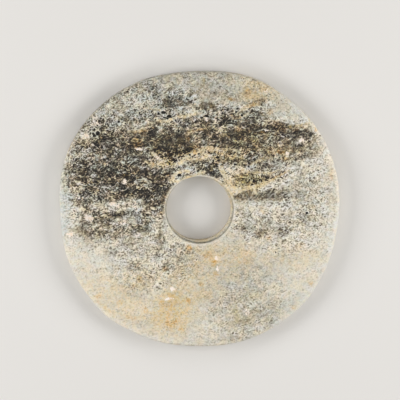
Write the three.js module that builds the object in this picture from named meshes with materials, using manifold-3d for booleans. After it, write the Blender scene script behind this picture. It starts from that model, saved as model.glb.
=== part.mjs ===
// A bi: a plain jade ring disc, sawn from a nephrite boulder, ground round by hand and
// drilled from both faces with a tube drill. It lies flat, in millimetres, +Z up. The
// origin is on the axis of the hole, in the plane of the underside; the finer face is up.
import * as THREE from "three";
import { mergeVertices } from "three/addons/utils/BufferGeometryUtils.js";
import Module from "manifold-3d";

// Driving dimensions.
const ROUND_RADIUS = 101.4; // the circle that the rim keeps where it wasn't ground flat
const ROUND_CENTRE = { x: -0.1, y: 0.3 }; // that circle's centre, from the hole's axis
const THICKNESS = 12.4; // at the hole
const SHOULDER_WIDTH = 14; // the band inside the rim over which the face falls away
const SHOULDER_DROP = 1.2;
const RIM_ROUNDING = 2.2; // radius of the worn corners of the rim
const FACE_UNEVENNESS = 0.14; // how far the sawn face waves up and down

// The hole: two tapered drillings that meet at a small step, a little off each other.
const FRONT_BORE = { mouth: 24.35, end: 23.95 };
const BACK_BORE = { mouth: 23.6, end: 23.3 };
const STEP_HEIGHT = 6.9;
const STEP_RISE = 0.5; // height of the sloping ledge between the two drillings
const DRILL_MISMATCH = { x: -1.1, y: 0.45 }; // the back drilling's axis from the front one's
const ARRIS = 0.45; // the worn edge round each mouth

// Where the rim was ground flatter (depth above zero) or stands fuller (below zero) than
// the circle: the direction in degrees from +X towards +Y, the depth and the half width.
const RIM_FLATS = [
  { name: "top", direction: 93.5, depth: 3.35, spread: 20.5 },
  { name: "left", direction: 183.5, depth: 2.25, spread: 15 },
  { name: "right", direction: 350, depth: 2.15, spread: 22 },
  { name: "bottom", direction: 269.5, depth: 1.2, spread: 12.5 },
  { name: "upper right", direction: 49, depth: 0.7, spread: 8.5 },
  { name: "lower left corner", direction: 229.5, depth: -1.25, spread: 8 },
  { name: "lower right corner", direction: 319.5, depth: -0.5, spread: 6 },
  { name: "upper left corner", direction: 152.5, depth: -0.9, spread: 15 },
];

// Old chips out of the rim: where on it, how high, and the length, depth and height.
const CHIPS = [
  { name: "upper right", direction: 67.6, height: 9.6, length: 3.4, depth: 1.5, tall: 3.0 },
  { name: "top", direction: 89.3, height: 2.2, length: 2.2, depth: 0.6, tall: 2.4 },
  { name: "top right", direction: 86.0, height: 2.4, length: 2.6, depth: 0.7, tall: 2.2 },
  { name: "bottom", direction: 283.5, height: 9.8, length: 3.2, depth: 0.8, tall: 2.2 },
];

// Fineness of the facets.
const SEGMENTS = 120; // round the axis
const FACE_RINGS = 5;
const SHOULDER_RINGS = 4;
const CORNER_STEPS = 4;

const wasm = await Module();
wasm.setup();

const radians = THREE.MathUtils.degToRad;

/** Radius of the rim round ROUND_CENTRE, in a direction given in radians. */
function rimRadius(angle) {
  return RIM_FLATS.reduce((radius, flat) => {
    const turn = THREE.MathUtils.euclideanModulo(
      THREE.MathUtils.radToDeg(angle) - flat.direction + 180, 360) - 180;
    return radius - flat.depth * Math.exp(-((turn / flat.spread) ** 2));
  }, ROUND_RADIUS);
}

/** Height of the upper face at a distance from the axis, before it is made uneven. */
function faceHeight(radius) {
  const start = ROUND_RADIUS - SHOULDER_WIDTH;
  const share = THREE.MathUtils.clamp((radius - start) / SHOULDER_WIDTH, 0, 1);
  return THICKNESS - SHOULDER_DROP * share ** 2;
}

/** Points of a quarter arc about a centre, from one angle to another, in degrees. */
function quarterArc(centreX, centreY, radius, from, to, steps) {
  return Array.from({ length: steps + 1 }, (_, i) => {
    const angle = radians(from + ((to - from) * i) / steps);
    return new THREE.Vector2(
      centreX + radius * Math.cos(angle), centreY + radius * Math.sin(angle));
  });
}

/** The ring's section, once round it: distance from the axis against height. */
function sectionOutline() {
  const shoulderStart = ROUND_RADIUS - SHOULDER_WIDTH;
  const faceStart = FRONT_BORE.mouth + ARRIS;
  const cornerX = ROUND_RADIUS - RIM_ROUNDING;
  const face = Array.from({ length: FACE_RINGS }, (_, i) =>
    faceStart + ((shoulderStart - faceStart) * i) / FACE_RINGS);
  const shoulder = Array.from({ length: SHOULDER_RINGS }, (_, i) =>
    shoulderStart + ((cornerX - shoulderStart) * i) / SHOULDER_RINGS);
  const top = [...face, ...shoulder].map((r) => new THREE.Vector2(r, faceHeight(r)));
  const upperCorner = quarterArc(
    cornerX, faceHeight(cornerX) - RIM_ROUNDING, RIM_ROUNDING, 90, 0, CORNER_STEPS);
  const lowerCorner = quarterArc(
    cornerX, RIM_ROUNDING, RIM_ROUNDING, 0, -90, CORNER_STEPS);
  const hole = [
    [BACK_BORE.mouth + ARRIS, 0],
    [BACK_BORE.mouth, ARRIS],
    [BACK_BORE.end, STEP_HEIGHT],
    [FRONT_BORE.end, STEP_HEIGHT + STEP_RISE],
    [FRONT_BORE.mouth, THICKNESS - ARRIS],
    [faceStart, THICKNESS],
  ].map(([r, z]) => new THREE.Vector2(r, z));
  return [...top, ...upperCorner, ...lowerCorner, ...hole];
}

/** Moves a turned vertex to where the ground rim and the two drillings have it. */
function shapeByHand(vertex) {
  const radius = Math.hypot(vertex.x, vertex.y);
  const angle = Math.atan2(vertex.y, vertex.x);
  const inner = FRONT_BORE.mouth + ARRIS;
  const rimShare = THREE.MathUtils.clamp(
    (radius - inner) / (ROUND_RADIUS - RIM_ROUNDING - inner), 0, 1);
  const reach = radius + (rimRadius(angle) - ROUND_RADIUS) * rimShare;
  const isBackBore = vertex.z <= STEP_HEIGHT && radius <= BACK_BORE.mouth + ARRIS;
  const drill = isBackBore ? DRILL_MISMATCH : { x: 0, y: 0 };
  const wave = FACE_UNEVENNESS * (0.6 * Math.sin(vertex.x / 31 + 0.7)
    + 0.4 * Math.cos(vertex.y / 23 - vertex.x / 47));
  vertex.set(
    reach * Math.cos(angle) + ROUND_CENTRE.x * rimShare + drill.x,
    reach * Math.sin(angle) + ROUND_CENTRE.y * rimShare + drill.y,
    vertex.z * (1 + wave / THICKNESS));
}

/** A closed geometry as a solid that can be cut. */
function toSolid(geometry) {
  geometry.deleteAttribute("normal");
  geometry.deleteAttribute("uv");
  const merged = mergeVertices(geometry, 1e-4);
  return new wasm.Manifold(new wasm.Mesh({
    numProp: 3,
    vertProperties: new Float32Array(merged.attributes.position.array),
    triVerts: new Uint32Array(merged.index.array),
  }));
}

/** A solid as a geometry that a mesh can show. */
function toGeometry(solid) {
  const { vertProperties, triVerts } = solid.getMesh();
  const geometry = new THREE.BufferGeometry()
    .setAttribute("position", new THREE.BufferAttribute(vertProperties, 3))
    .setIndex(new THREE.BufferAttribute(triVerts, 1));
  geometry.computeVertexNormals();
  return geometry;
}

/** The whole ring, before the chips: a turned section, then shaped by hand. */
function turnedRing() {
  const outline = sectionOutline();
  const ring = new THREE.LatheGeometry(outline.reverse(), SEGMENTS);
  ring.rotateX(Math.PI / 2);
  const positions = ring.attributes.position;
  const vertex = new THREE.Vector3();
  for (let i = 0; i < positions.count; i++) {
    shapeByHand(vertex.fromBufferAttribute(positions, i));
    positions.setXYZ(i, vertex.x, vertex.y, vertex.z);
  }
  return ring;
}

/** The lens-shaped flake that one chip took off the rim. */
function chipFlake(chip) {
  const angle = radians(chip.direction);
  const radius = rimRadius(angle);
  return new THREE.IcosahedronGeometry(1, 1)
    .scale(chip.depth, chip.length / 2, chip.tall / 2)
    .rotateZ(angle)
    .translate(
      ROUND_CENTRE.x + radius * Math.cos(angle),
      ROUND_CENTRE.y + radius * Math.sin(angle),
      chip.height);
}

const nephrite = new THREE.MeshStandardMaterial({
  name: "nephrite", color: 0xa59f8c, roughness: 0.42, metalness: 0 });

const chipped = CHIPS.reduce(
  (solid, chip) => solid.subtract(toSolid(chipFlake(chip))), toSolid(turnedRing()));

const disc = new THREE.Mesh(toGeometry(chipped), nephrite);
disc.name = "jade_disc";

const bi = new THREE.Group();
bi.name = "bi";
bi.add(disc);

export default bi;
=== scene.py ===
"""A plain jade bi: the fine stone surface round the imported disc, on a pale studio floor.

Lengths in the classes are millimetres, as a stone carver would give them. They turn into
metres where a mesh, a light or the camera is made.
"""

import logging
import math
from dataclasses import dataclass, field
from enum import Enum

import bmesh
import bpy
import numpy as np
from mathutils import Matrix, Vector, noise


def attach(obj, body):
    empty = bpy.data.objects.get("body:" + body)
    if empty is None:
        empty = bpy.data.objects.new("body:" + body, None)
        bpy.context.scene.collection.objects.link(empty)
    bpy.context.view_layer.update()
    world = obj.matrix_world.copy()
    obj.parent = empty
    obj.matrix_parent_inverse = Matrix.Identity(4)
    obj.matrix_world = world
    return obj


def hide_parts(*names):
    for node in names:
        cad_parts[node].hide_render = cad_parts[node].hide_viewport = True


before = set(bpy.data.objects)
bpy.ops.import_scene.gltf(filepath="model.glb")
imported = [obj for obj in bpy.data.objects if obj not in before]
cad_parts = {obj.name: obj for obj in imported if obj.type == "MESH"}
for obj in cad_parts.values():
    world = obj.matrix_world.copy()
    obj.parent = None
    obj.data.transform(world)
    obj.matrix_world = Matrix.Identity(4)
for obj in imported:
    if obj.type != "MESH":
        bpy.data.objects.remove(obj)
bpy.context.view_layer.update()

LOG = logging.getLogger("bi")
MM = 0.001
NODE = "jade_disc"

Array = np.ndarray
Socket = bpy.types.NodeSocket


def smooth_step(low: float, high: float, value: Array) -> Array:
    """Rise smoothly from 0 to 1.

    Args:
        low: where the rise starts.
        high: where it ends; below low it falls instead.
        value: what is compared with them.

    Returns:
        An array of values from 0 to 1.
    """
    share = np.clip((value - low) / (high - low), 0.0, 1.0)
    return share * share * (3.0 - 2.0 * share)


def fractal(points: Array, cell: float, octaves: int, shift: float) -> Array:
    """Smooth random field through space.

    Args:
        points: places in millimetres, one a row.
        cell: size of the coarsest lumps in millimetres.
        octaves: how many finer layers are laid on.
        shift: moves the field, so that two fields differ.

    Returns:
        One value for each point, around 0 and mostly within 1 of it.
    """
    places = points / cell + shift
    return np.array([noise.fractal(Vector(p), 0.9, 2.1, octaves) for p in places])


def turn_from(angle: Array, direction: float) -> Array:
    """How far angles in radians lie from a direction in degrees, from -180 to 180."""
    return (np.degrees(angle) - direction + 180.0) % 360.0 - 180.0


def set_down(name: str, data: bpy.types.ID) -> bpy.types.Object:
    """Make an object of some data and link it into the scene."""
    thing = bpy.data.objects.new(name, data)
    bpy.context.scene.collection.objects.link(thing)
    return thing


# --------------------------------------------------------------------------- the form


@dataclass(frozen=True)
class RimFlat:
    """A stretch of rim ground flatter than the circle, or left fuller.

    direction is in degrees from +X towards +Y, depth in millimetres (below zero where
    the rim stands fuller) and spread the half width in degrees.
    """

    name: str
    direction: float
    depth: float
    spread: float


@dataclass(frozen=True)
class Chip:
    """An old flake off the rim.

    direction is in degrees from +X towards +Y and height that of its middle. length
    runs along the rim, tall upwards and depth towards the axis.
    """

    name: str
    direction: float
    height: float
    length: float
    depth: float
    tall: float


@dataclass(frozen=True)
class Drilling:
    """One of the two drillings of the hole: its radius at the mouth and at its end."""

    mouth: float
    end: float


@dataclass
class DiscForm:
    """The ring's form, ground and drilled by hand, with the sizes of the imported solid.

    skin and film keep the dressed surface a little inside that solid, at the rim and on
    the face. slack is how near a point has to be to count as on one part of the section.
    """

    round_radius: float = 101.4
    round_centre: tuple[float, float] = (-0.1, 0.3)
    thickness: float = 12.4
    shoulder_width: float = 14.0
    shoulder_drop: float = 1.2
    rim_rounding: float = 2.2
    unevenness: float = 0.14
    wave_lengths: tuple[float, float, float] = (31.0, 23.0, 47.0)
    front: Drilling = Drilling(24.35, 23.95)
    back: Drilling = Drilling(23.6, 23.3)
    step_height: float = 6.9
    step_rise: float = 0.5
    mismatch: tuple[float, float] = (-1.1, 0.45)
    arris: float = 0.45
    skin: float = 0.05
    film: float = 0.02
    slack: float = 0.01
    turns: int = 520
    flats: tuple[RimFlat, ...] = (
        RimFlat("top", 93.5, 3.35, 20.5),
        RimFlat("left", 183.5, 2.25, 15.0),
        RimFlat("right", 350.0, 2.15, 22.0),
        RimFlat("bottom", 269.5, 1.2, 12.5),
        RimFlat("upper right", 49.0, 0.7, 8.5),
        RimFlat("lower left corner", 229.5, -1.25, 8.0),
        RimFlat("lower right corner", 319.5, -0.5, 6.0),
        RimFlat("upper left corner", 152.5, -0.9, 15.0),
    )
    chips: tuple[Chip, ...] = (
        Chip("upper right", 67.6, 9.6, 3.4, 1.5, 3.0),
        Chip("top", 89.3, 2.2, 2.2, 0.6, 2.4),
        Chip("top right", 86.0, 2.4, 2.6, 0.7, 2.2),
        Chip("bottom", 283.5, 9.8, 3.2, 0.8, 2.2),
    )

    @property
    def face_start(self) -> float:
        """Where the upper face begins, outside the worn edge of the hole."""
        return self.front.mouth + self.arris

    @property
    def shoulder_start(self) -> float:
        """Where the face begins to fall away towards the rim."""
        return self.round_radius - self.shoulder_width

    @property
    def corner_radius(self) -> float:
        """Where the rim's rounded corners begin."""
        return self.round_radius - self.rim_rounding

    def rim_radius(self, angle: Array) -> Array:
        """Radius of the rim round round_centre, by direction in radians."""
        radius = np.full_like(angle, self.round_radius)
        for flat in self.flats:
            turn = turn_from(angle, flat.direction)
            radius = radius - flat.depth * np.exp(-((turn / flat.spread) ** 2))
        return radius

    def face_height(self, radius: Array) -> Array:
        """Height of the upper face by distance from the axis."""
        share = np.clip((radius - self.shoulder_start) / self.shoulder_width, 0.0, 1.0)
        return self.thickness - self.shoulder_drop * share**2

    def section(self) -> list[tuple[float, float, int]]:
        """Corners of the ring's section and how finely each following edge is cut.

        Returns:
            Distance from the axis, height and number of cuts, once round the section.
        """
        corner_top = float(self.face_height(np.array(self.corner_radius)))
        corners = [
            (self.face_start, self.thickness, 85),
            (self.shoulder_start, self.thickness, 19),
        ]
        corners += self._corner_arc(corner_top - self.rim_rounding, (90, 0), 6, 8)
        corners += self._corner_arc(self.rim_rounding, (0, -90), 5, 22)
        corners += [
            (self.back.mouth + self.arris, 0.0, 0),
            (self.back.mouth, self.arris, 8),
            (self.back.end, self.step_height, 1),
            (self.front.end, self.step_height + self.step_rise, 6),
            (self.front.mouth, self.thickness - self.arris, 1),
        ]
        return corners

    def _corner_arc(self, centre_height: float, ends: tuple[float, float], steps: int,
                    cuts_after: int) -> list[tuple[float, float, int]]:
        """Points of one rounded corner of the rim, from one angle to another."""
        return [
            (
                self.corner_radius + self.rim_rounding * math.cos(angle),
                centre_height + self.rim_rounding * math.sin(angle),
                cuts_after if step == steps else 0,
            )
            for step, angle in enumerate(np.radians(np.linspace(*ends, steps + 1)))
        ]

    def shape_by_hand(self, turned: Array) -> Array:
        """Move turned points to where the ground rim and the drillings have them.

        Args:
            turned: points of the turned ring in millimetres, one a row.

        Returns:
            The same points on the finished form.
        """
        radius = np.hypot(turned[:, 0], turned[:, 1])
        angle = np.arctan2(turned[:, 1], turned[:, 0])
        height = turned[:, 2].copy()
        on_face = (
            (height > self.thickness - self.shoulder_drop - self.slack)
            & (radius <= self.corner_radius + self.slack)
            & (radius > self.face_start)
        )
        height[on_face] = self.face_height(radius[on_face])
        rim_share = np.clip(
            (radius - self.face_start) / (self.corner_radius - self.face_start), 0, 1
        )
        reach = radius + (self.rim_radius(angle) - self.round_radius) * rim_share
        reach = reach - self.skin * rim_share
        is_back = (height <= self.step_height + self.slack) & (
            radius <= self.back.mouth + self.arris + self.slack
        )
        first, second, third = self.wave_lengths
        wave = self.unevenness * (
            0.6 * np.sin(turned[:, 0] / first + 0.7)
            + 0.4 * np.cos(turned[:, 1] / second - turned[:, 0] / third)
        )
        across, up = (
            reach * swing + centre * rim_share + shift * is_back
            for swing, centre, shift in zip(
                (np.cos(angle), np.sin(angle)), self.round_centre, self.mismatch
            )
        )
        return np.stack([across, up, height * (1.0 + wave / self.thickness)], axis=1)

    def rim_place(self, points: Array) -> tuple[Array, Array]:
        """Direction of each point in radians, and how far inside the rim it lies."""
        across = points[:, 0] - self.round_centre[0]
        up = points[:, 1] - self.round_centre[1]
        angle = np.arctan2(up, across)
        return angle, self.rim_radius(angle) - np.hypot(across, up)

    def chipped(self, points: Array) -> Array:
        """How much the chips took off at each point.

        Args:
            points: places on the finished form in millimetres, one a row.

        Returns:
            The depth lost towards the axis in millimetres, 0 on sound stone.
        """
        angle, inside = self.rim_place(points)
        deep = np.zeros(len(points))
        for chip in self.chips:
            turn = np.radians(turn_from(angle, chip.direction))
            along = turn * self.round_radius / (0.5 * chip.length)
            high = (points[:, 2] - chip.height) / (0.5 * chip.tall)
            away = np.sqrt(along**2 + high**2 + (inside / (2.0 * chip.depth)) ** 2)
            deep = np.maximum(deep, chip.depth * smooth_step(1.1, 0.3, away))
        return deep

    def build(self) -> bmesh.types.BMesh:
        """Turn the section round the axis and shape it.

        Returns:
            A closed mesh in millimetres.
        """
        mesh = bmesh.new()
        corners = self.section()
        points = [mesh.verts.new((r, 0.0, z)) for r, z, _ in corners]
        following = points[1:] + points[:1]
        edges = [mesh.edges.new(pair) for pair in zip(points, following)]
        for edge, (_, _, cuts) in zip(edges, corners):
            if cuts:
                bmesh.ops.subdivide_edges(mesh, edges=[edge], cuts=cuts)
        bmesh.ops.spin(
            mesh,
            geom=list(mesh.verts) + list(mesh.edges),
            cent=(0, 0, 0),
            axis=(0, 0, 1),
            angle=2 * math.pi,
            steps=self.turns,
            use_merge=True,
        )
        bmesh.ops.remove_doubles(mesh, verts=mesh.verts, dist=1e-4)
        shaped = self.shape_by_hand(np.array([v.co for v in mesh.verts]))
        for vert, place in zip(mesh.verts, shaped):
            vert.co = place
        bmesh.ops.recalc_face_normals(mesh, faces=mesh.faces)
        return mesh


# --------------------------------------------------------------------------- the stone


class Tone(Enum):
    """What a patch of the stone is, and the mesh attribute that carries it."""

    SHADE = "stone_shade"
    SPECKLE = "speckle_strength"
    STREAK = "streaked"
    CREAM = "cream_tint"
    OLIVE = "olive_tint"
    COOL = "cool_tint"
    OCHRE = "ochre_stain"
    WHITE = "white_grain"
    PORES = "pore_density"
    PIT = "pit"


Tones = dict[Tone, Array]


class Mark:
    """A mark of one tone on the upper face, of a level from 0 to 1."""

    level: float

    def distance(self, places: Array) -> Array:
        """How far each place lies from the mark's middle: 1 on its outline."""
        raise NotImplementedError

    def cover(self, places: Array, soft: float) -> Array:
        """How far each place lies in the mark.

        Args:
            places: x and y in millimetres, one a row.
            soft: share of the mark's size over which its edge fades.

        Returns:
            1 well inside, 0 outside.
        """
        return smooth_step(1.0 + soft, 1.0 - soft, self.distance(places))


@dataclass(frozen=True)
class Patch(Mark):
    """An oval patch.

    x and y are its centre, length and width its half sizes, and turn its tilt in
    degrees.
    """

    x: float
    y: float
    length: float
    width: float
    level: float
    turn: float = 0.0

    def distance(self, places: Array) -> Array:
        """How far each place lies from the centre: 1 on the outline."""
        cosine, sine = math.cos(math.radians(self.turn)), math.sin(math.radians(self.turn))
        right, up = places[:, 0] - self.x, places[:, 1] - self.y
        along = right * cosine + up * sine
        across = up * cosine - right * sine
        return np.hypot(along / self.length, across / self.width)


@dataclass(frozen=True)
class Vein(Mark):
    """A thread or scratch through the stone, along a few points."""

    path: tuple[tuple[float, float], ...]
    width: float
    level: float

    def distance(self, places: Array) -> Array:
        """How far each place lies from the path: 1 on the vein's sides."""
        nearest = np.full(len(places), 1e9)
        for start, end in zip(np.array(self.path[:-1]), np.array(self.path[1:])):
            run = end - start
            share = np.clip((places - start) @ run / (run @ run), 0.0, 1.0)
            away = places - start - share[:, None] * run
            nearest = np.minimum(nearest, np.hypot(away[:, 0], away[:, 1]))
        return nearest / (0.5 * self.width)


@dataclass(frozen=True)
class RimWearAndHighlightArc:
    """A stretch of the rim painted pale, partly wear and partly a painted highlight: its
    direction and half width in degrees.
    """

    direction: float
    spread: float
    level: float


def patches(*rows: tuple[float, ...]) -> tuple[Patch, ...]:
    """Patches, each from a row of its numbers in the order of its fields."""
    return tuple(Patch(*row) for row in rows)


# Pale arcs along the rim, partly wear and partly a painted highlight, strongest on the left,
# the right and the lower corners.
RIM_WEAR_AND_HIGHLIGHT_ARCS: tuple[RimWearAndHighlightArc, ...] = (
    RimWearAndHighlightArc(184, 28, 0.9),
    RimWearAndHighlightArc(228, 26, 1.0),
    RimWearAndHighlightArc(272, 24, 0.15),
    RimWearAndHighlightArc(316, 24, 0.9),
    RimWearAndHighlightArc(352, 30, 1.0),
    RimWearAndHighlightArc(40, 26, 0.6),
)

# How light the stone is: 0 is black, 1 is white. Later marks lie over earlier ones.
SHADES = patches(
    # Sound pale stone: the lower left, the lower right, the lower edge.
    (-66, -52, 40, 34, 0.82, -35), (84, -40, 20, 50, 0.81, -20), (-20, -84, 40, 12, 0.79),
    # The first patch on the next line, the pale strip along the right edge, is partly pale
    # stone and partly a painted sheen.
    (96, 6, 9, 38, 0.86), (60, -78, 16, 12, 0.79, 35),
    # Greyer stone above, and the speckled grounds round the hole.
    (-15, 90, 92, 21, 0.67), (62, 76, 22, 11, 0.755, -42), (38, 86, 18, 8, 0.73, -20),
    (70, 12, 32, 28, 0.745), (32, -68, 26, 26, 0.72, 20), (42, -80, 16, 12, 0.69, 25),
    (30, -92, 12, 3, 0.66, 20), (-28, -38, 28, 16, 0.71, 8), (42, -8, 28, 13, 0.72),
    # The dark ground: the left half, the band across, its right end.
    (-62, 24, 38, 40, 0.45), (-10, 56, 66, 12, 0.47), (46, 51, 34, 12, 0.44, -6),
    (72, 54, 10, 5, 0.48, -18), (30, 36, 36, 9, 0.5, 6), (-10, 34, 30, 10, 0.48),
    # The last patch on the next line, pale along the left edge, is a painted sheen.
    (-86, 50, 8, 20, 0.5, -22), (-91, 26, 9, 17, 0.57, -10), (-94, -8, 8, 22, 0.8, 4),
    (-38, -3, 17, 12, 0.47), (-70, -15, 17, 7, 0.58, -4),
    # Its darkest places.
    (-26, 48, 24, 9.5, 0.3, -3), (4, 50, 18, 8, 0.41), (33, 53, 17, 10.5, 0.345, 2),
    (50, 47, 12, 7, 0.43, 6), (61, 57, 15, 4.5, 0.37, -14), (76, 54, 5, 2.6, 0.37, -14),
    (-16, 60, 20, 6, 0.44), (28, 66, 20, 5, 0.43, 4), (-60, 46, 16, 6, 0.36),
    (-54, 21, 28, 12, 0.39, 4), (-28, 16, 7, 16, 0.36, 4), (-47, 13, 12, 5, 0.33),
    (-16, 37, 8, 4, 0.38, 20), (-46, -8, 4, 7, 0.46, 10), (-37, -8, 3, 8, 0.45, 20),
    # Paler islands in it.
    (-72, 61, 9, 4, 0.66, 10), (-80, 53, 4, 2.4, 0.7), (72, 50, 4, 2.4, 0.66),
    (76, 60, 6, 2, 0.66, 14), (54, 50, 7, 3, 0.5), (-51, 61, 14, 5, 0.6),
    (-55, 39, 12, 4.5, 0.52, -4), (-40, 33, 9, 4, 0.5), (-62, 3, 16, 5, 0.7),
    (-47, 4, 8, 6, 0.7), (-52, -8, 9, 4.5, 0.68, 20), (-14, 66, 16, 2.4, 0.56, 12),
    (-35, 68, 12, 4, 0.64),
    # Pale stone round the hole.
    (-24, 34, 8, 4, 0.66, -30), (-14, 24, 7, 4, 0.6, 40), (6, 40.5, 17, 4.2, 0.6, 2),
    (24, 42.5, 6, 2, 0.56), (-3, 33, 9, 4, 0.56), (20, 24, 6.5, 8, 0.78),
    (31, 16, 12, 2.6, 0.78, 12), (34, 28, 12, 2, 0.7, -14), (48, 32, 10, 4.5, 0.6, 14),
    (31, -2, 6, 4, 0.68), (48, 2, 9, 5, 0.8), (-29, -12, 7, 9, 0.72, 10),
    # Dark streaks right of the hole.
    (8, 28, 9, 3.5, 0.44, -10), (37, 22, 9, 3, 0.5), (16, 36, 8, 2.4, 0.42, 10),
    (33, 11, 9, 3, 0.57, 14), (44, 10, 6, 3, 0.56, 20), (50, 25, 6, 1.8, 0.44, 24),
    (31, -12, 5, 3, 0.58), (44, -17, 5, 3, 0.5, 20), (61, -15, 6, 3.4, 0.6, 10),
    (60, 28, 5, 4, 0.6), (57, 11, 8, 4, 0.6, 30), (71, 11, 9, 3.5, 0.66, 12),
    (76, -6, 6, 4, 0.64),
    # Darker places in the pale ground.
    (-16, 77, 12, 4, 0.5), (4, 74, 9, 3.5, 0.5), (8, 64, 6, 4, 0.44),
    (-66, 60, 7, 5, 0.54), (-32, 86, 5, 3, 0.5), (42, 77, 5, 2, 0.52, 10),
    (18, 72, 8, 2.6, 0.54, 10), (-47, -41, 4, 3, 0.56), (-23, -42, 4, 3.5, 0.56),
    (-28, -21, 4, 3, 0.56), (-62, -29, 5, 4, 0.68), (-12, -28, 9, 3.5, 0.64),
    (-52, -24, 8, 3, 0.68), (-46, -56, 12, 9, 0.74),
)

# Threads of cream stone, over the grounds above.
CREAM_VEINS: tuple[Vein, ...] = (
    Vein(((-33, 41), (-29, 37), (-26, 33), (-20, 31.5), (-14, 34), (-9, 39)), 2.6, 0.74),
    Vein(((-9, 39), (-3, 42.5), (4, 43.5), (9, 45)), 2.8, 0.76),
    Vein(((9, 45), (14, 43), (21, 44), (28, 42.5)), 2.0, 0.7),
    Vein(((-10, 37), (-5, 36.5), (1, 37), (6, 39)), 1.8, 0.7),
    Vein(((-21, 21), (-17, 26), (-11, 28.5), (-8, 28)), 2.4, 0.76),
    Vein(((-19, 20), (-12, 22.5), (-4, 25), (3, 27.5)), 1.8, 0.74),
    Vein(((15, 31), (18, 25), (22, 20)), 3.4, 0.8),
    Vein(((22, 16), (30, 13.5), (37, 16), (45, 18.5), (52, 22)), 2.2, 0.8),
    Vein(((30, 29), (39, 27), (50, 26.5), (57, 29)), 1.5, 0.74),
    Vein(((37, 33.5), (43, 36), (51, 38)), 2.2, 0.68),
    Vein(((13, 34.5), (22, 37), (31, 39.5)), 1.3, 0.6),
    Vein(((38, 15.5), (41, 12)), 1.6, 0.8),
    Vein(((53, 23), (58, 25.5), (64, 29)), 1.5, 0.68),
    Vein(((-17, 66.5), (-9, 67.5), (0, 69.5)), 2.2, 0.74),
    Vein(((-31, 65.5), (-27, 63.5), (-21, 64.5), (-17, 66.5)), 2.0, 0.74),
    Vein(((-39, 73), (-32, 72), (-27, 71.5)), 1.6, 0.72),
    Vein(((-52, 56.5), (-45, 56.5), (-39, 57.5)), 1.5, 0.6),
    Vein(((-38, 34.5), (-33, 33.5), (-30, 31)), 1.6, 0.62),
    Vein(((30, 72), (35, 75), (41, 76)), 2.4, 0.74),
    Vein(((22, 65.5), (28, 66.5), (34, 69)), 1.8, 0.66),
    Vein(((25, 57.5), (27, 61), (30, 64.5)), 1.2, 0.56),
    Vein(((-8, 56), (-2, 57.5), (5, 59)), 1.5, 0.6),
    Vein(((14, 54), (18, 55), (21, 52)), 1.0, 0.58),
    Vein(((68, 60), (76, 61.5), (83, 64)), 1.2, 0.66),
    Vein(((-8, 82), (-1, 85), (3, 90), (4.5, 96)), 0.9, 0.6),
)

# Dark scratches, over the threads.
SCRATCHES: tuple[Vein, ...] = (
    Vein(((54, 7.5), (56.5, 12), (59.5, 16.5)), 1.8, 0.54),
    Vein(((50, 11), (53.5, 16)), 1.2, 0.54),
    Vein(((57, 6.5), (61, 12)), 1.2, 0.55),
    Vein(((25, 10), (31, 13), (36, 14)), 1.6, 0.54),
    Vein(((37, 7.5), (43, 10.5), (50, 14.5)), 1.8, 0.56),
    Vein(((24, 24), (33, 25), (41, 21)), 1.6, 0.54),
    Vein(((44, 24.5), (50, 25), (56, 28)), 1.2, 0.54),
)

# How strong the speckle is.
SPECKLES = patches(
    (0, 88, 84, 22, 0.085), (-48, 76, 30, 12, 0.15, 10), (-16, 78, 14, 6, 0.16),
    (-34, -36, 30, 20, 0.12, 8), (60, 2, 42, 30, 0.13), (96, 5, 7, 40, 0.08),
    (76, 34, 14, 13, 0.14), (34, -70, 26, 24, 0.08, 20), (38, -87, 14, 8, 0.095, 25),
    (-62, 22, 42, 44, 0.19), (10, 56, 80, 14, 0.18, -2), (-26, 49, 22, 9, 0.12, -3),
    (33, 53, 17, 9, 0.13, 2), (-14, 68, 30, 5, 0.27), (28, 71, 20, 6, 0.21, 8),
    (-2, 36, 34, 9, 0.28), (34, 30, 28, 14, 0.22), (-18, 25, 12, 6, 0.26, 40),
    # The last patch on the next line calms the speckle under the painted sheen on the left
    # edge.
    (-68, 60, 14, 8, 0.25), (-60, 0, 30, 14, 0.19), (-98, -4, 6, 28, 0.09),
)

# Where the grain is drawn out into streaks.
STREAKS = patches(
    (56, 28, 42, 26, 0.9, 20), (-4, 68, 40, 6, 0.5, 8), (0, 42, 34, 7, 0.6),
    (20, 90, 60, 14, 0.4), (-20, 49, 20, 7, 0.5),
)

# Where the stone turns creamy.
CREAMS = patches(
    (-58, -66, 28, 14, 0.5, -35), (-45, -50, 16, 10, 0.4), (-8, -56, 22, 16, 0.55),
    (-20, -75, 15, 16, 1.0), (14, -36, 26, 12, 0.6), (66, -34, 22, 8, 0.3),
    (40, 86, 15, 10, 0.65, -20), (0, 41, 30, 6, 0.9), (-26, 36, 10, 5, 0.8, -30),
    (28, 18, 16, 11, 0.85), (54, 44, 16, 7, 0.45), (10, 56, 22, 6, 0.35),
    (-44, 52, 8, 8, 0.4), (-72, -8, 20, 12, 0.2), (-78, 52, 10, 8, 0.2),
)

# Where it turns towards blue grey.
COOLS = patches(
    (0, 84, 84, 20, 0.4), (-48, 76, 34, 13, 0.75, 10), (-17, 78, 14, 7, 1.0),
    # The last patch on the next line, a cool tint on the left edge, is a painted lilac sheen.
    (8, 28, 9, 4, 0.9, -10), (-62, 33, 20, 9, 0.6), (-97, 2, 6, 28, 1.0),
    (-43, -6, 9, 12, 0.7), (62, 73, 20, 9, 0.55, -42), (94, -20, 8, 30, 0.3),
    (30, -50, 22, 10, 0.35), (62, -74, 22, 9, 0.5, 40), (47, 31, 12, 5, 0.45, 10),
    (38, 9, 15, 6, 0.6, 10), (70, 12, 20, 14, 0.3), (-58, -42, 12, 10, 0.25),
    (-8, 34, 9, 6, 0.4),
)

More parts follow.
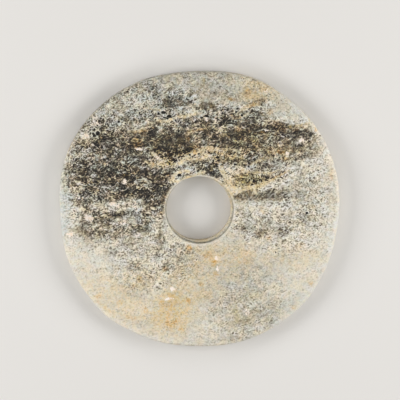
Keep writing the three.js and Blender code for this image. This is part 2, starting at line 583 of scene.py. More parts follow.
# Where it turns towards olive.
OLIVES = patches(
    (34, 50, 15, 8, 0.6), (-22, 47, 18, 8, 0.4), (36, 22, 11, 6, 0.7), (24, 36, 9, 4, 0.5),
    (-20.5, 34, 3.4, 1.6, 1.0), (26, -75, 2, 7, 0.6, 5), (37, -63, 9, 4, 0.35, 20),
    (34, -80, 5, 3, 0.25, 20),
)

# Rusty stains.
OCHRES = patches(
    # On the dark ground.
    (-44, 47.5, 3, 5, 0.8), (-42, 56.5, 5, 1.5, 0.7, 8), (-53, 24.8, 2.6, 1.6, 1.0),
    (-49, 26, 6, 1.2, 0.55, 8), (-26, 23, 1.6, 1.2, 0.7), (-25.5, 6, 1.2, 6, 0.6),
    (26, 57.5, 2.2, 2, 0.6), (43, 55.5, 4, 1.1, 1.0, 6), (64, 59.5, 1.6, 1.5, 1.0),
    (57, 59, 5, 3.5, 0.55, -20), (70, 55, 7, 3, 0.4, -20), (58, 42, 4, 2.2, 0.8),
    (60, 37, 2.6, 1.6, 0.7), (49, 43, 2.4, 2, 0.6), (83, 57, 2, 1.4, 0.8),
    (74, 59.5, 3.4, 1.6, 0.6, 8), (-2, 57, 6, 1.4, 0.5, 8), (-1, 43, 8, 2.4, 0.5, 14),
    # Near the top.
    (22.5, 79.5, 2.4, 1.4, 0.85), (34, 85.5, 2.4, 2.4, 0.75), (36, 82, 5, 6, 0.3, 20),
    (46, 88, 8, 3, 0.5, -20), (54, 86, 5, 2, 0.5, -40), (9, 75, 2.2, 1.5, 0.8),
    (37, 75.5, 5, 1.8, 0.7, 14), (50, 70.5, 2, 2.2, 0.7), (38.5, 94, 2, 1.6, 1.0),
    # Round the hole and to its right.
    (-7.5, -27, 2.4, 2.4, 0.9), (7, -33, 5, 3, 0.5), (10.5, -38, 1.8, 2.6, 0.95),
    (12, -46, 2, 1.6, 0.7), (1, -53, 1.6, 2, 0.75), (34, -34, 6, 5, 0.25, 20),
    (44, 0, 2, 3, 0.5, 20), (49, -20, 2.2, 1.6, 0.5), (72, -25, 3.4, 2, 0.45),
    (80, 3, 2.6, 1.4, 0.5), (54, 24, 3, 1, 0.5, 30), (94, 25, 1.6, 4, 0.4),
    # Below.
    (-43, -50, 1.8, 3, 0.75), (-46, -55, 2, 1.6, 0.5), (-24, -42, 3, 1.6, 0.5),
    (-57, -67, 2.4, 1.8, 0.6), (-72, -63, 3.4, 1.3, 0.6), (-68, -71, 7, 1.4, 0.4, -35),
    (-38.5, -73, 1.5, 2.2, 0.8, 10), (-27, -67, 2.6, 1.3, 0.75, 20),
    (-20, -62, 3, 2.4, 0.6), (-22, -67, 6, 3.5, 0.35), (-20, -79, 7, 7, 0.3),
    (-8, -66, 1.4, 2.8, 0.85, 10), (-18, -81.5, 2.4, 1.8, 0.65), (-13, -87.5, 2, 1.6, 0.6),
    (-50, -78, 6, 1.8, 0.4), (80, -54, 3, 1.7, 0.7, -50), (68, -72, 2.4, 1.4, 0.6, -40),
)

# Pale grains big enough to tell one by one.
WHITES = patches(
    (-53, 20.5, 1.7, 2, 0.9), (-43, 44, 3.2, 0.9, 0.81, -8), (-62, 4.5, 2.5, 1.4, 0.85),
    (-58, 3, 1.9, 1.7, 0.63), (-79, -5.5, 3.2, 2.1, 0.9, -10),
    (-92, -18, 2.5, 1.9, 0.68, 20), (-86, 8.5, 1.7, 1.5, 0.77), (-73, 62, 3.1, 1.9, 0.59),
    (-80, 53, 2, 1.3, 0.77), (-46, 4, 1.9, 2.5, 0.45), (-54, -9, 2.9, 1.7, 0.54, 30),
    (-44, -18, 2, 1.9, 0.45), (-29.5, 38, 2.2, 1.7, 0.54, -30),
    (-25, 71.5, 1.4, 0.7, 0.72), (4.5, 65, 1.3, 1.3, 0.9), (47.5, 57.5, 2.5, 0.8, 0.85, 4),
    (72, 50.5, 1.9, 1.2, 0.81), (62, 41, 1.4, 1.3, 0.9), (2, 39, 1, 1, 0.54),
    (-19.5, -57, 2, 1.4, 0.9, -20), (-22.5, -64.5, 3.6, 0.8, 0.9, 8),
    (-20.5, -78, 1, 1.4, 0.54), (12, -34.5, 1.2, 1.6, 0.9, -20), (13, -42.5, 1, 2.2, 0.9),
    (34, -74, 2.2, 2.2, 0.45), (68, -60, 1.4, 2.5, 0.36), (48, 85, 2.5, 1.4, 0.41),
)

# How thickly small pores stand.
PORES = patches(
    (-62, 20, 42, 40, 0.3), (10, 56, 78, 14, 0.25), (-18, 67, 18, 6, 0.9),
    (4, 68, 12, 6, 0.8), (28, 69, 14, 5, 0.7), (-66, 62, 14, 8, 0.7), (0, 34, 16, 9, 1.0),
    (24, 36, 14, 7, 0.8), (-15, 26, 9, 5, 0.6, 30), (48, 32, 16, 7, 0.5),
    (45, -12, 22, 10, 0.35), (76, -3, 12, 8, 0.4), (-42, -8, 20, 14, 0.4),
    (-30, -40, 22, 16, 0.3), (38, -88, 14, 8, 0.3),
)

# The pits big enough to tell one by one.
PITS = patches(
    (-25.2, 70, 1.7, 1.1, 1.0), (-28.8, 69, 1.3, 1.3, 0.8),
    (-21.3, 67.2, 1.8, 1.1, 1.0, -10), (-22.8, 65.8, 1.2, 0.9, 0.8),
    (-31, 65, 1.1, 0.9, 0.7), (-25, 66.3, 1.1, 0.9, 0.8), (-33, 86.5, 2.2, 1.3, 0.6, 20),
    (-21.3, 81, 1.4, 0.9, 0.9, -30), (5, 67.4, 2.2, 0.9, 1.0, -10),
    (1.5, 66.5, 1.5, 1.1, 0.8), (-71.8, 55, 1.5, 1.7, 0.95),
    (-74.5, 57.5, 2.2, 1, 0.7, 10), (-75, 66.5, 3, 1.3, 0.6), (-57, 63.3, 1.4, 1.1, 0.85),
    (30, 68, 1.3, 1, 0.9), (26, 70.5, 1.2, 1, 0.8), (20, 67.5, 1.1, 0.8, 0.7),
    (-14.5, 57, 1, 1.2, 0.8), (-7, 39.7, 1.1, 0.9, 0.9), (-14.5, 25.5, 1.6, 1, 0.85, 20),
    (5, 30.5, 1.2, 0.9, 0.8), (2.5, 34, 1.1, 0.9, 0.8), (13, 38, 1.6, 1.2, 0.8),
    (12, 33, 1.3, 1, 0.7), (25, 33, 1.1, 1.1, 0.8), (35, 31.5, 1.3, 1, 0.7),
    (46.5, 46.5, 1.4, 0.9, 0.7), (76.3, -2, 1.1, 1.3, 0.95, -60),
    (54.2, -30.5, 0.7, 1.1, 0.8), (22.5, -12, 1, 0.8, 0.6), (-2, -36, 0.9, 1.1, 0.6),
)


# The tones that lie as broad grounds from 0, and those in single small marks.
GROUNDS: dict[Tone, tuple[Mark, ...]] = {
    Tone.STREAK: STREAKS, Tone.CREAM: CREAMS, Tone.OLIVE: OLIVES, Tone.COOL: COOLS,
    Tone.PORES: PORES,
}
SINGLES: dict[Tone, tuple[Mark, ...]] = {
    Tone.OCHRE: OCHRES, Tone.WHITE: WHITES, Tone.PIT: PITS,
}


@dataclass(frozen=True)
class RubbedAndLitStone:
    """Stone worked or broken after the ground formed, or a surface with painted light or shade
    on it: its shade and its speckle.
    """

    shade: float
    speckle: float


@dataclass
class JadeStone:
    """The stone's make-up, from its broad mottling down to grains and pits.

    dip is how far the marks move across for each millimetre of depth, ground and calm
    the shade and speckle where no mark lies, and wander and ragged how many millimetres
    the marks' outlines stray, on a broad and on a fine scale. The soft values are the
    share of a mark over which its edge fades, in the grounds and in single small marks.
    rim, wall, edge and fresh are the rim, worn and with a painted highlight, the hole's
    wall, with painted shade above and painted light below, its edges, worn and with a
    painted highlight, and a fresh break. Weathered places sink by the two values of
    sinking, pits by pit_depth.
    """

    form: DiscForm
    dip: tuple[float, float] = (0.55, -1.1)
    ground: float = 0.765
    calm: float = 0.042
    wander: float = 1.3
    ragged: float = 1.0
    broad_cell: float = 17.0
    fine_cell: float = 4.2
    ground_soft: float = 0.45
    mark_soft: float = 0.5
    seed: float = 11.0
    # rim and edge are partly a painted highlight; wall is painted shade above and painted
    # light below.
    rim: RubbedAndLitStone = RubbedAndLitStone(0.92, 0.03)
    wall: RubbedAndLitStone = RubbedAndLitStone(0.6, 0.05)
    edge: RubbedAndLitStone = RubbedAndLitStone(0.84, 0.03)
    fresh: RubbedAndLitStone = RubbedAndLitStone(0.45, 0.12)
    sinking: tuple[float, float] = (0.04, 0.3)
    sinking_cell: float = 3.4
    pit_depth: float = 0.5

    def tones(self, points: Array) -> Tones:
        """Work out what the stone is at each point.

        Args:
            points: places on the surface in millimetres, one a row.

        Returns:
            For each tone, one value from 0 to 1 a point.
        """
        depth = np.maximum(self.form.thickness - points[:, 2], 0.0)
        places = points[:, :2] + np.outer(depth, self.dip)
        fine = self._stray(points, self.fine_cell, self.seed + 7.0) * self.ragged
        broad = self._stray(points, self.broad_cell, self.seed) * self.wander
        broad = places + fine + broad
        near = places + 0.5 * fine
        shade = self._lay(SHADES, broad, self.ground)
        shade = self._lay(CREAM_VEINS + SCRATCHES, near, shade)
        veined = smooth_step(0.0, 0.6, self._most(CREAM_VEINS, near))
        speckle = self._lay(SPECKLES, broad, self.calm) * (1.0 - 0.5 * veined)
        found = {Tone.SHADE: shade, Tone.SPECKLE: speckle}
        for tone, marks in GROUNDS.items():
            found[tone] = self._lay(marks, broad, 0.0)
        found[Tone.CREAM] = np.maximum(found[Tone.CREAM], 0.8 * veined)
        on_face = smooth_step(4.0, 1.0, depth)
        for tone, marks in SINGLES.items():
            found[tone] = self._most(marks, near) * on_face
        self._wear_and_highlight_rim(points, found)
        self._wear_and_light_hole(points, depth, found)
        self._rework_and_light(found, smooth_step(0.2, 0.7, self.form.chipped(points)), self.fresh)
        return found

    def _wear_and_highlight_rim(self, points: Array, found: Tones) -> None:
        """Pale stone along parts of the rim, partly wear and partly a painted highlight: a
        line on it and a halo inside.
        """
        angle, inside = self.form.rim_place(points)
        weight = np.zeros(len(points))
        for arc in RIM_WEAR_AND_HIGHLIGHT_ARCS:
            turn = turn_from(angle, arc.direction)
            weight = np.maximum(weight, arc.level * np.exp(-((turn / arc.spread) ** 2)))
        line, halo = smooth_step(3.2, 0.8, inside), smooth_step(9.0, 1.0, inside)
        # Painted highlight along the lit sides of the rim, over some real wear.
        self._rework_and_light(found, weight * (0.75 * line + 0.25 * halo), self.rim)

    def _wear_and_light_hole(self, points: Array, depth: Array, found: Tones) -> None:
        """The drilled wall, cool grey above as painted shade and lighter and creamy below as
        painted light, and its pale edges, partly wear and partly a painted highlight.
        """
        form = self.form
        radius = np.hypot(points[:, 0], points[:, 1])
        in_hole = smooth_step(form.front.mouth + 0.2, form.front.mouth - 0.2, radius)
        in_hole = in_hole * smooth_step(0.3, 1.0, depth)
        near_back = smooth_step(form.step_height + 1.0, form.step_height, points[:, 2])
        # Painted shade and light on the drilled wall: cool grey above, lifted lighter and
        # creamier below.
        self._rework_and_light(found, in_hole, self.wall, 0.08 * near_back)
        found[Tone.COOL] += (0.9 * (1.0 - near_back) - found[Tone.COOL]) * in_hole
        found[Tone.CREAM] += (0.7 * near_back - found[Tone.CREAM]) * in_hole
        found[Tone.PORES] *= 1.0 - in_hole
        # A painted highlight on the ledge, and on the mouth's edge over real wear.
        edge = smooth_step(1.5, 0.5, np.abs(radius - form.front.mouth - 0.2))
        edge = edge * smooth_step(1.4, 0.6, depth)
        ledge = smooth_step(0.5, 0.15, np.abs(points[:, 2] - form.step_height))
        ledge = ledge * smooth_step(form.back.end + 1.6, form.back.end + 0.6, radius)
        self._rework_and_light(found, 0.85 * np.maximum(edge, ledge), self.edge)

    def _rework_and_light(self, found: Tones, share: Array, kind: RubbedAndLitStone,
                lift: float | Array = 0.0) -> None:
        """Draw the stone by a share towards rubbed stone, or towards painted light or shade,
        and close its pores.

        Args:
            found: the tones so far, which change in place.
            share: how far each point is drawn, from 0 to 1.
            kind: what the rubbed or painted-lit stone is like.
            lift: how much lighter it is than its kind says; on the lower wall, painted light.
        """
        found[Tone.SHADE] += (kind.shade + lift - found[Tone.SHADE]) * share
        found[Tone.SPECKLE] += (kind.speckle - found[Tone.SPECKLE]) * share
        found[Tone.PORES] *= 1.0 - share

    def _lay(self, marks: tuple[Mark, ...], places: Array, ground: float | Array) -> Array:
        """Lay marks one over another on a ground, as glazes are laid.

        Args:
            marks: the marks, lowest first.
            places: x and y in millimetres, one a row.
            ground: the level below all of them.

        Returns:
            The level at each place.
        """
        value = np.zeros(len(places)) + ground
        for mark in marks:
            value = value + (mark.level - value) * mark.cover(places, self.ground_soft)
        return value

    def _most(self, marks: tuple[Mark, ...], places: Array) -> Array:
        """The strongest of some small marks at each place, 0 where there is none."""
        value = np.zeros(len(places))
        for mark in marks:
            value = np.maximum(value, mark.level * mark.cover(places, self.mark_soft))
        return value

    def _stray(self, points: Array, cell: float, shift: float) -> Array:
        """A smooth random shove in x and y at each point, around one unit long."""
        shoves = [fractal(points, cell, 2, shift + more) for more in (0.0, 31.0)]
        return np.stack(shoves, axis=1)

    def relief(self, points: Array, tones: Tones) -> Array:
        """How far the weathered surface has sunk at each point, in millimetres."""
        rough = fractal(points, self.sinking_cell, 3, self.seed + 3.0)
        weight = smooth_step(0.08, 0.24, tones[Tone.SPECKLE])
        least, most = self.sinking
        sunk = least + (most - least) * np.clip(0.5 + 0.5 * rough, 0.0, 1.0)
        return weight * sunk + self.pit_depth * tones[Tone.PIT]


# ------------------------------------------------------------------------- the finish


@dataclass(frozen=True)
class Grain:
    """A noise: the size of its lumps in millimetres, how finely they break, its twist."""

    cell: float
    detail: float = 2.0
    roughness: float = 0.5
    twist: float = 0.0


@dataclass(frozen=True)
class Strength:
    """How strong something is in dark and in pale stone, and the shades of those two."""

    in_dark: float
    in_pale: float
    dark: float = 0.45
    pale: float = 0.8


@dataclass(frozen=True)
class Thread:
    """Threads that wind round lumps of one size, how broad they are and how strong."""

    cell: float
    half_width: float
    strength: Strength

    @property
    def grain(self) -> Grain:
        """The noise whose middle level the threads follow."""
        return Grain(self.cell, 1.5, 0.6, 0.3)


class Bench:
    """Adds nodes to one material and wires them."""

    def __init__(self, material: bpy.types.Material) -> None:
        """Start with the material's empty tree."""
        material.use_nodes = True
        self.tree = material.node_tree
        self.tree.nodes.clear()

    def add(self, kind: str, **settings: object) -> bpy.types.Node:
        """Add a node and set its properties."""
        node = self.tree.nodes.new(kind)
        for name, value in settings.items():
            setattr(node, name, value)
        return node

    def feed(self, socket: Socket, value: object) -> None:
        """Wire a socket into an input, or set the input to a plain value."""
        if isinstance(value, Socket):
            self.tree.links.new(value, socket)
        else:
            socket.default_value = value

    def feed_all(self, node: bpy.types.Node, values: dict[str | int, object]) -> None:
        """Give a node several inputs at once, by name or place."""
        for name, value in values.items():
            self.feed(node.inputs[name], value)

    def shader(self, values: dict[str | int, object]) -> None:
        """Finish the material with one shader of the given inputs."""
        shader = self.add("ShaderNodeBsdfPrincipled")
        output = self.add("ShaderNodeOutputMaterial")
        self.feed(output.inputs["Surface"], shader.outputs["BSDF"])
        self.feed_all(shader, values)

    def math(self, operation: str, a: object, b: object = 0.0, c: object = 0.0,
             clamp: bool = False) -> Socket:
        """Arithmetic on up to three values or sockets."""
        node = self.add("ShaderNodeMath", operation=operation, use_clamp=clamp)
        self.feed_all(node, {0: a, 1: b, 2: c})
        return node.outputs[0]

    def plus(self, base: object, value: object, strength: object,
             clamp: bool = False) -> Socket:
        """A base with a value laid on it at some strength."""
        return self.math("MULTIPLY_ADD", value, strength, base, clamp)

    def times(self, a: object, b: object) -> Socket:
        """One value times another."""
        return self.math("MULTIPLY", a, b)

    def centred(self, value: object) -> Socket:
        """A value from 0 to 1, moved so that it swings round 0."""
        return self.math("SUBTRACT", value, 0.5)

    def attribute(self, tone: Tone) -> Socket:
        """One of the stone's tones, as the mesh carries it."""
        return self.add("ShaderNodeAttribute", attribute_name=tone.value).outputs["Fac"]

    def noise(self, vector: object, grain: Grain, output: str = "Fac") -> Socket:
        """A noise texture of one grain."""
        node = self.add("ShaderNodeTexNoise", noise_dimensions="3D")
        self.feed_all(node, {
            "Vector": vector, "Scale": 1.0 / (grain.cell * MM), "Detail": grain.detail,
            "Roughness": grain.roughness, "Distortion": grain.twist,
        })
        return node.outputs[output]

    def ramp(self, factor: object, stops: tuple[tuple[float, str], ...]) -> Socket:
        """A colour ramp from places and colours written as web hex."""
        node = self.add("ShaderNodeValToRGB")
        self.feed(node.inputs["Fac"], factor)
        ramp = node.color_ramp
        while len(ramp.elements) < len(stops):
            ramp.elements.new(0.5)
        for element, (place, colour) in zip(ramp.elements, stops):
            element.position = place
            element.color = from_hex(colour)
        return node.outputs["Color"]

    def blend(self, factor: object, a: object, b: object, mode: str = "MIX") -> Socket:
        """Blend two colours, given as sockets or web hex."""
        node = self.add("ShaderNodeMix", data_type="RGBA", blend_type=mode)
        self.feed(node.inputs["Factor"], factor)
        ends = [socket for socket in node.inputs if socket.type == "RGBA"]
        for socket, colour in zip(ends, (a, b)):
            self.feed(socket, from_hex(colour) if isinstance(colour, str) else colour)
        return next(socket for socket in node.outputs if socket.type == "RGBA")

    def between(self, value: object, low: object, high: object) -> Socket:
        """0 below low, 1 above high, smooth between."""
        node = self.add("ShaderNodeMapRange", interpolation_type="SMOOTHSTEP")
        self.feed_all(node, {"Value": value, "From Min": low, "From Max": high})
        return node.outputs["Result"]

    def by_shade(self, strength: Strength) -> Socket:
        """A strength that follows the broad shade of the stone."""
        node = self.add("ShaderNodeMapRange")
        self.feed_all(node, {
            "Value": self.attribute(Tone.SHADE), "From Min": strength.dark,
            "From Max": strength.pale, "To Min": strength.in_dark,
            "To Max": strength.in_pale,
        })
        return node.outputs["Result"]


def from_hex(colour: str) -> tuple[float, float, float, float]:
    """Linear colour from web hex, as a paint chart gives it."""
    parts = [int(colour[i : i + 2], 16) / 255 for i in (1, 3, 5)]
    linear = [p / 12.92 if p <= 0.04045 else ((p + 0.055) / 1.055) ** 2.4 for p in parts]
    return (*linear, 1.0)


@dataclass(frozen=True)
class JadeFinish:
    """Weathered nephrite: pale and waxy where sound, dark, matt and pitted where not.

    A Grain names the noise of one layer and a Strength how much of it there is. Pore
    sizes and depths are a least value and how much chance adds to it, in pore cells.
    """

    grain_turn: float = 18.0
    grain_stretch: float = 1.3
    streak_stretch: float = 2.4
    crumple: Grain = Grain(7.0, 1.0)
    crumple_reach: float = 4.0
    body: Grain = Grain(4.0, 3.0, 1.0)
    streak: Grain = Grain(3.3, 3.0, 0.85)
    body_strength: float = 3.6
    tooth: Grain = Grain(1.0, 1.0, 0.8)
    tooth_strength: Strength = Strength(5.5, 7.5)
    threads: tuple[Thread, ...] = (
        Thread(6.0, 0.05, Strength(1.3, 0.4)),
        Thread(3.4, 0.08, Strength(1.6, 0.8)),
        Thread(1.9, 0.12, Strength(1.3, 1.2)),
    )
    thread_mean: float = 0.34
    clump: Grain = Grain(4.6, 1.0)
    clump_strength: Strength = Strength(2.6, 0.8)
    lump: Grain = Grain(10.0, 1.5, 0.6)
    lump_strength: Strength = Strength(2.6, 1.3)
    drift: Grain = Grain(8.0, 1.0)
    drift_strength: Strength = Strength(2.0, 1.2)
    skew: Strength = Strength(0.06, -0.16)
    speckle_gain: float = 1.18
    pore_cell: float = 2.8
    pore_size: tuple[float, float] = (0.13, 0.18)
    pore_depth: tuple[float, float] = (0.55, 1.0)
    pore_lip: float = -0.4
    pore_net: float = -0.25
    pore_dark: float = -0.38
    pit_lip: float = 0.2
    hue: Grain = Grain(2.3, 3.0, 0.9)
    fleck: Grain = Grain(1.9, 3.0, 0.8, 0.4)
    cloud: Grain = Grain(6.5, 2.0, 0.6)
    blush: Grain = Grain(3.6, 2.5, 0.8, 0.3)
    rust: Grain = Grain(3.1, 1.0, 0.5, 0.5)
    crumb: Grain = Grain(1.5, 2.0, 0.9)
    mottle: Grain = Grain(2.8)
    tint_strength: Strength = Strength(0.75, 0.35, 0.4, 0.8)
    rust_strength: Strength = Strength(0.6, 0.1, 0.4, 0.7)
    tints: tuple[tuple[str, str], ...] = (("#e6ecf0", "#fff1d4"), ("#f2f7ec", "#f9eff2"))
    cream: str = "#ffe9b8"
    cool: str = "#dde9f2"
    olive: str = "#e6e0a2"
    ochres: tuple[str, str] = ("#ffe9b2", "#f5c67c")
    whites: tuple[str, str] = ("#f3ebe4", "#f0dcc4")
    pit: str = "#12100e"
    shades: tuple[tuple[float, str], ...] = (
        (0.05, "#13110f"), (0.2, "#332f2a"), (0.33, "#524a3e"), (0.47, "#7e7665"),
        (0.6, "#a29d8f"), (0.7, "#c0bbad"), (0.8, "#d8d3c6"), (0.9, "#e7e3d8"),
        (1.0, "#f3f0e8"),
    )

    def make(self) -> bpy.types.Material:
        """Build the material.

        Returns:
            A material that reads the stone's tones from the mesh.
        """
        material = bpy.data.materials.new("weathered_nephrite")
        bench = Bench(material)
        places = bench.add("ShaderNodeTexCoord").outputs["Object"]
        grains = self._grain_places(bench, places, self.grain_stretch)
        streaks = self._grain_places(bench, places, self.streak_stretch)
        speckle = self._speckle(bench, grains, streaks)
        pores = self._pores(bench, grains)
        shade = self._shade(bench, speckle, pores)
        bench.shader({
            "Base Color": self._colour(bench, places, shade),
            "Roughness": self._roughness(bench, grains),
            "Normal": self._bump(bench, speckle, pores),
            "IOR": 1.6,
            "Specular IOR Level": 0.28,
        })
        return material

    def _grain_places(self, bench: Bench, places: object, stretch: float) -> Socket:
        """Coordinates drawn out along the stone's grain and gently crumpled."""
        turn = bench.add("ShaderNodeMapping", vector_type="TEXTURE")
        bench.feed_all(turn, {
            "Vector": places, "Rotation": (0.0, 0.0, math.radians(self.grain_turn)),
            "Scale": (stretch, 1.0, 1.0),
        })
        centred = bench.add("ShaderNodeVectorMath", operation="SUBTRACT")
        bench.feed_all(centred, {
            0: bench.noise(places, self.crumple, "Color"), 1: (0.5, 0.5, 0.5),
        })
        shove = bench.add("ShaderNodeVectorMath", operation="SCALE")
        bench.feed_all(shove, {
            0: centred.outputs["Vector"], "Scale": self.crumple_reach * MM,
        })
        moved = bench.add("ShaderNodeVectorMath", operation="ADD")
        bench.feed_all(moved, {0: turn.outputs["Vector"], 1: shove.outputs["Vector"]})
        return moved.outputs["Vector"]

    def _speckle(self, bench: Bench, grains: object, streaks: object) -> Socket:
        """Fine speckle around 0, mostly within 1 of it.

        Pale threads stand out of the dark stone, and dark ones out of the pale, and
        the speckle leans the same way.
        """
        body = bench.add("ShaderNodeMix", data_type="FLOAT")
        bench.feed_all(body, {
            "Factor": bench.attribute(Tone.STREAK), "A": bench.noise(grains, self.body),
            "B": bench.noise(streaks, self.streak),
        })
        body = bench.centred(body.outputs["Result"])
        tooth = bench.centred(bench.noise(grains, self.tooth))
        tooth = bench.times(tooth, bench.by_shade(self.tooth_strength))
        grain = bench.plus(tooth, body, self.body_strength)
        for thread in self.threads:
            lumps = bench.noise(grains, thread.grain)
            away = bench.math("ABSOLUTE", bench.centred(lumps))
            line = bench.between(away, thread.half_width, 0.0)
            line = bench.math("SUBTRACT", line, self.thread_mean)
            grain = bench.plus(grain, line, bench.by_shade(thread.strength))
        clump = bench.centred(bench.noise(streaks, self.clump))
        grain = bench.plus(grain, clump, bench.by_shade(self.clump_strength))
        lumps = bench.noise(grains, self.lump)
        burst = bench.plus(0.75, bench.between(lumps, 0.3, 0.7), 0.5)
        grain = bench.times(grain, burst)
        square = bench.math("SUBTRACT", bench.times(grain, grain), 1.0)
        grain = bench.plus(grain, square, bench.by_shade(self.skew))
        grain = bench.plus(grain, bench.centred(lumps), bench.by_shade(self.lump_strength))
        drift = bench.centred(bench.noise(streaks, self.drift))
        return bench.plus(grain, drift, bench.by_shade(self.drift_strength))

    def _pores(self, bench: Bench, grains: object) -> Socket:
        """Small round pores: 1 in a deep pore, a little below 0 on its raised lip.

        Where they stand thickest, the lips join in a net.
        """
        cells = bench.add("ShaderNodeTexVoronoi", feature="F1")
        edges = bench.add("ShaderNodeTexVoronoi", feature="DISTANCE_TO_EDGE")
        for node in (cells, edges):
            bench.feed_all(node, {
                "Vector": grains, "Scale": 1.0 / (self.pore_cell * MM), "Randomness": 0.95,
            })
        chance = bench.add("ShaderNodeSeparateColor")
        bench.feed(chance.inputs["Color"], cells.outputs["Color"])
        thickness = bench.attribute(Tone.PORES)
        size = bench.plus(self.pore_size[0], chance.outputs["Green"], self.pore_size[1])
        depth = bench.plus(self.pore_depth[0], chance.outputs["Blue"], self.pore_depth[1])
        rim = bench.math("SUBTRACT", cells.outputs["Distance"], size)
        well = bench.times(bench.between(rim, 0.08, -0.08), depth)
        shape = bench.plus(well, bench.between(rim, 0.32, 0.1), self.pore_lip)
        is_here = bench.math("LESS_THAN", chance.outputs["Red"], bench.times(thickness, 0.8))
        shape = bench.times(shape, is_here)
        net = bench.between(edges.outputs["Distance"], 0.14, 0.03)
        net = bench.times(net, bench.between(thickness, 0.4, 1.0))
        return bench.plus(shape, net, self.pore_net)

    def _shade(self, bench: Bench, speckle: object, pores: object) -> Socket:
        """How light the stone is, from 0 to 1, with its speckle and its pores."""
        strength = bench.times(bench.attribute(Tone.SPECKLE), self.speckle_gain)
        shade = bench.plus(bench.attribute(Tone.SHADE), speckle, strength)
        lip = bench.between(bench.attribute(Tone.PIT), 0.03, 0.25)
        shade = bench.plus(shade, lip, self.pit_lip)
        return bench.plus(shade, pores, self.pore_dark, clamp=True)

    def _colour(self, bench: Bench, places: object, shade: object) -> Socket:
        """The stone's colour: its shade, tints, stains, white grains and pits."""
        hue, fleck, cloud, blush, rare, crumb = (
            bench.noise(places, grain)
            for grain in (self.hue, self.fleck, self.cloud, self.blush, self.rust, self.crumb)
        )
        warmth = bench.plus(bench.times(hue, 0.25), cloud, 0.75)
        amount = bench.by_shade(self.tint_strength)
        side = bench.between(hue, 0.4, 0.6)
        colour = bench.ramp(shade, self.shades)
        for share, pair in zip(
            (bench.between(warmth, 0.42, 0.58), bench.between(blush, 0.4, 0.6)), self.tints
        ):
            colour = bench.blend(amount, colour, bench.blend(share, *pair), "MULTIPLY")
        for tone, uneven, tint in (
            (Tone.CREAM, hue, self.cream), (Tone.COOL, fleck, self.cool),
            (Tone.OLIVE, fleck, self.olive),
        ):
            share = bench.times(bench.attribute(tone), bench.between(uneven, 0.25, 0.7))
            colour = bench.blend(share, colour, tint, "MULTIPLY")
        rare = bench.times(bench.between(rare, 0.62, 0.72), bench.by_shade(self.rust_strength))
        rust = bench.times(bench.attribute(Tone.OCHRE), bench.between(fleck, 0.36, 0.56))
        rust = bench.math("MAXIMUM", rare, rust, clamp=True)
        colour = bench.blend(rust, colour, bench.blend(side, *self.ochres), "MULTIPLY")
        white = bench.attribute(Tone.WHITE)
        ragged = bench.plus(white, bench.centred(crumb), 3.0)
        white = bench.times(bench.between(ragged, 0.34, 0.62), bench.between(white, 0.0, 0.35))
        colour = bench.blend(white, colour, bench.blend(side, *self.whites))
        pit = bench.plus(bench.attribute(Tone.PIT), bench.centred(hue), 0.8)
        return bench.blend(bench.between(pit, 0.42, 0.66), colour, self.pit)

    def _roughness(self, bench: Bench, grains: object) -> Socket:
        """Waxy where sound, matt where weathered."""
        matt = bench.plus(0.4, bench.attribute(Tone.SPECKLE), 1.1)
        return bench.plus(matt, bench.centred(bench.noise(grains, self.mottle)), 0.2)

    def _bump(self, bench: Bench, speckle: object, pores: object) -> Socket:
        """Fine tooth, stronger on the weathered ground, and the wells of the pores."""
        strength = bench.math("MULTIPLY", bench.attribute(Tone.SPECKLE), 3.2, clamp=True)
        bump = bench.add("ShaderNodeBump")
        bench.feed_all(bump, {
            "Height": bench.plus(speckle, pores, -1.4), "Distance": 0.25 * MM,
            "Strength": strength,
        })
        return bump.outputs["Normal"]


@dataclass
class JadeDisc:
    """The whole bi, one carved stone: its form, its weathering and its finish."""

    form: DiscForm = field(default_factory=DiscForm)
    finish: JadeFinish = field(default_factory=JadeFinish)

    def build(self) -> bpy.types.Object:
        """Make the disc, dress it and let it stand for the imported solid.

        Returns:
            The finished piece.
        """
        stone = JadeStone(self.form)
        shape = self.form.build()
        points = np.array([v.co for v in shape.verts])
        tones = stone.tones(points)
        self._weather(shape, points, stone.relief(points, tones))
        bmesh.ops.scale(shape, vec=(MM, MM, MM), verts=shape.verts)
        mesh = bpy.data.meshes.new("jade_bi")
        shape.to_mesh(mesh)
        shape.free()
        for tone, values in tones.items():
            layer = mesh.attributes.new(tone.value, "FLOAT", "POINT")
            layer.data.foreach_set("value", values.astype(np.float32))
        mesh.shade_smooth()
        disc = set_down("jade_bi", mesh)
        mesh.materials.append(self.finish.make())
        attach(disc, "root")
        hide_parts(NODE)
        return disc

    def _weather(self, shape: bmesh.types.BMesh, points: Array, sunk: Array) -> None:
        """Sink the weathered places and knock the chips out of the rim.

        Args:
            shape: the sound disc, which changes in place.
            points: its points in millimetres, one a row.
            sunk: how far each sinks along its normal, where it lies on the upper face.
        """
        shape.normal_update()
        normals = np.array([v.normal for v in shape.verts])
        on_top = smooth_step(3.0, 1.0, self.form.thickness - points[:, 2])
        moved = points - normals * ((sunk + self.form.film) * on_top)[:, None]
        outward = points * (1.0, 1.0, 0.0) / np.hypot(points[:, 0], points[:, 1])[:, None]
        moved = moved - outward * self.form.chipped(points)[:, None]
        for vert, place in zip(shape.verts, moved):
            vert.co = place


# ------------------------------------------------------------------------- the studio


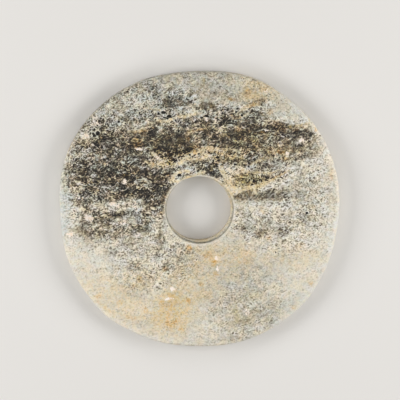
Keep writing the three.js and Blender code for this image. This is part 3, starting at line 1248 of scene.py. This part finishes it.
@dataclass(frozen=True)
class SoftBox:
    """A softbox: where it hangs, in degrees and metres, how big it is, what it gives."""

    name: str
    azimuth: float
    elevation: float
    height: float
    power: float
    colour: tuple[float, float, float]
    width: float = 0.8
    distance: float = 1.2

    def hang(self, target: Vector) -> bpy.types.Object:
        """Hang the box and point it at the target."""
        light = bpy.data.lights.new(self.name, "AREA")
        light.shape = "RECTANGLE"
        light.size, light.size_y = self.width, self.height
        light.energy = self.power
        light.color = self.colour
        box = set_down(self.name, light)
        around, up = math.radians(self.azimuth), math.radians(self.elevation)
        away = Vector(
            (math.cos(around) * math.cos(up), math.sin(around) * math.cos(up), math.sin(up))
        )
        box.location = target + away * self.distance
        box.rotation_euler = (-away).to_track_quat("-Z", "Y").to_euler()
        return box


@dataclass
class Studio:
    """A pale floor, soft light and the camera over the lying disc.

    tilt is the camera's angle off the disc's axis in degrees, reach its distance in
    metres and aim the place it looks at in millimetres.
    """

    tilt: float = 10.0
    reach: float = 1.579
    lens: float = 200.0
    sensor: float = 36.0
    aim: tuple[float, float, float] = (0.36, 7.2, 11.0)
    floor_size: float = 3.0
    floor_colour: str = "#dcdad6"
    fill: float = 0.25
    boxes: tuple[SoftBox, ...] = (
        SoftBox("left box", 176, 31, 0.6, 9.1, (1.0, 0.99, 0.99)),
        SoftBox("right box", 4, 31, 0.6, 9.1, (1.0, 0.99, 0.99)),
        SoftBox("front box", 268, 40, 0.6, 3.2, (1.0, 0.99, 0.97)),
        SoftBox("back box", 88, 34, 0.5, 2.8, (1.0, 0.99, 0.98)),
    )

    def build(self) -> None:
        """Make the floor, the lights and the camera."""
        self._floor()
        target = Vector((0.0, 0.0, 0.006))
        for box in self.boxes:
            box.hang(target)
        world = bpy.data.worlds.new("studio")
        world.use_nodes = True
        background = world.node_tree.nodes["Background"].inputs
        background["Color"].default_value = (1, 1, 1, 1)
        background["Strength"].default_value = self.fill
        bpy.context.scene.world = world
        bpy.context.scene.view_settings.view_transform = "Standard"
        self._camera()

    def _floor(self) -> None:
        """A plain pale floor under the disc."""
        shape = bmesh.new()
        bmesh.ops.create_grid(shape, x_segments=8, y_segments=8, size=self.floor_size / 2)
        mesh = bpy.data.meshes.new("floor")
        shape.to_mesh(mesh)
        shape.free()
        floor = set_down("floor", mesh)
        material = bpy.data.materials.new("floor_paper")
        Bench(material).shader({
            "Base Color": from_hex(self.floor_colour), "Roughness": 0.9,
        })
        mesh.materials.append(material)

    def _camera(self) -> None:
        """The camera over the disc, tilted off its axis, with +Y up in the picture."""
        camera = bpy.data.cameras.new("camera")
        camera.lens = self.lens
        camera.sensor_width = self.sensor
        camera.clip_end = 20.0
        tilt = math.radians(self.tilt)
        back = Vector((0.0, math.sin(tilt), math.cos(tilt)))
        up = Vector((0.0, math.cos(tilt), -math.sin(tilt)))
        stand = set_down("camera", camera)
        turn = Matrix((Vector((1, 0, 0)), up, back)).transposed().to_4x4()
        turn.translation = Vector(self.aim) * MM + back * self.reach
        stand.matrix_world = turn
        bpy.context.scene.camera = stand


def main() -> None:
    """Build the studio and the disc, in order, and report each piece."""
    logging.basicConfig(level=logging.INFO, format="%(message)s")
    Studio().build()
    LOG.info("studio: floor, lights and camera")
    disc = JadeDisc().build()
    LOG.info("%s: %d faces", disc.name, len(disc.data.polygons))


if __name__ == "__main__":
    main()
